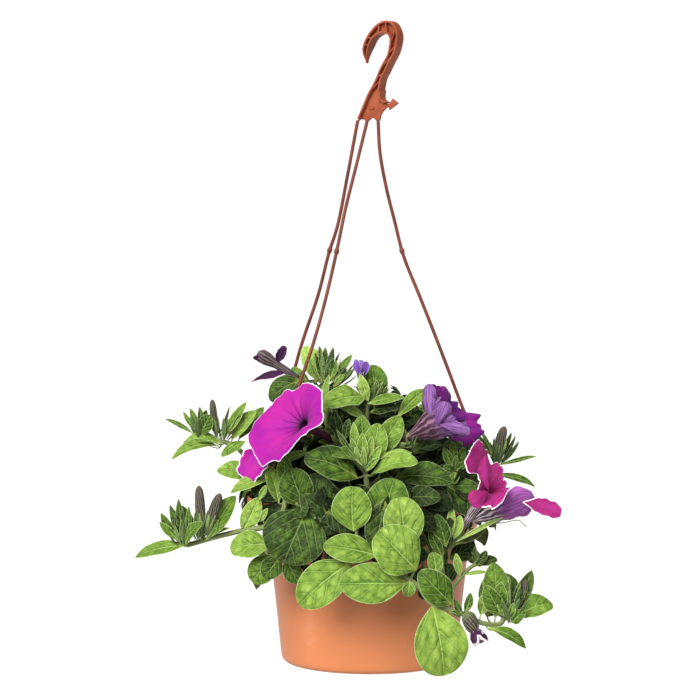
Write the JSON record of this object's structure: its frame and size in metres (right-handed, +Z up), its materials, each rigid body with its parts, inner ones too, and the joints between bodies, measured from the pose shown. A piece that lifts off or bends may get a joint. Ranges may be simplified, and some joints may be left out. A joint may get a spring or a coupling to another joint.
{
  "type": "petunia hanging basket",
  "caption": "Bushy trailing petunia in a round terracotta-coloured plastic pot with a flared rim, hung by thin plastic strands from a flat moulded hook.",
  "frame": {"origin": "centre of the underside of the pot's base", "axes": "+Z up through the hook, -Y towards the front where the bush is fullest, +X to the right"},
  "size_m": [0.389, 0.311, 0.6025],
  "materials": {
    "pot_plastic": "smooth satin terracotta-coloured moulded plastic with tiny specks",
    "hanger_plastic": "satin reddish-brown moulded plastic",
    "potting_soil": "damp crumbly peat and bark",
    "leaf": "softly hairy green leaf with a pale vein network",
    "shoot": "hairy green stem with small leaves",
    "calyx": "pale green hairy sepals",
    "petal_magenta": "velvety magenta petal with dark veins and a white margin",
    "petal_purple": "deep violet petal with lavender underside",
    "petal_pink": "cerise petal with a white margin and striped tube",
    "petal_lavender": "lavender petal, half open",
    "petal_withered": "withered dark purple petal",
    "bud": "hairy grey-green bud with brown stripes"
  },
  "bodies": {
    "root": {"bud_hanging": "bud", "bud_lower_left_purple": "bud", "bud_lower_left_tall": "bud", "bud_right_brown": "bud", "bud_right_whorl": "bud", "bud_upper_left": "bud", "flower_lavender_small": "petal_lavender", "flower_magenta": "petal_magenta", "flower_magenta_calyx": "calyx", "flower_pink": "petal_pink", "flower_pink_calyx": "calyx", "flower_purple": "petal_purple", "flower_purple_calyx": "calyx", "flower_withered": "petal_withered", "hanger_hook": "hanger_plastic", "hanger_strand_back_left": "hanger_plastic", "hanger_strand_front_left": "hanger_plastic", "hanger_strand_right": "hanger_plastic", "leaf_front_bottom": "leaf", "leaf_front_centre": "leaf", "leaf_front_dark_right": "leaf", "leaf_front_hanging": "leaf", "leaf_front_left_large": "leaf", "leaf_front_low_left": "leaf", "leaf_front_round": "leaf", "leaf_front_upper_back": "leaf", "leaf_front_upper_right": "leaf", "leaf_left_big_dark": "leaf", "leaf_left_bumpy_dark": "leaf", "leaf_left_low_bright": "leaf", "leaf_left_low_hang": "leaf", "leaf_left_oval": "leaf", "leaf_left_round_dark": "leaf", "leaf_lower_left_big": "leaf", "leaf_right_dark_top": "leaf", "leaf_right_ribbed": "leaf", "leaf_rosette_right": "leaf", "leaf_top_round_hairy": "leaf", "leaf_top_veined": "leaf", "leaf_veined_left": "leaf", "pot": "pot_plastic", "potting_soil": "potting_soil", "shoot_far_1": "shoot", "shoot_far_2": "shoot", "shoot_far_3": "shoot", "shoot_far_4": "shoot", "shoot_far_5": "shoot", "shoot_front": "shoot", "shoot_left": "shoot", "shoot_lower_left": "shoot", "shoot_right_bud": "shoot", "shoot_right_lower": "shoot", "shoot_right_upper": "shoot", "shoot_rosette": "shoot", "shoot_top": "shoot", "shoot_top_left": "shoot", "shoot_upper_left": "shoot"}
  },
  "joints": []
}
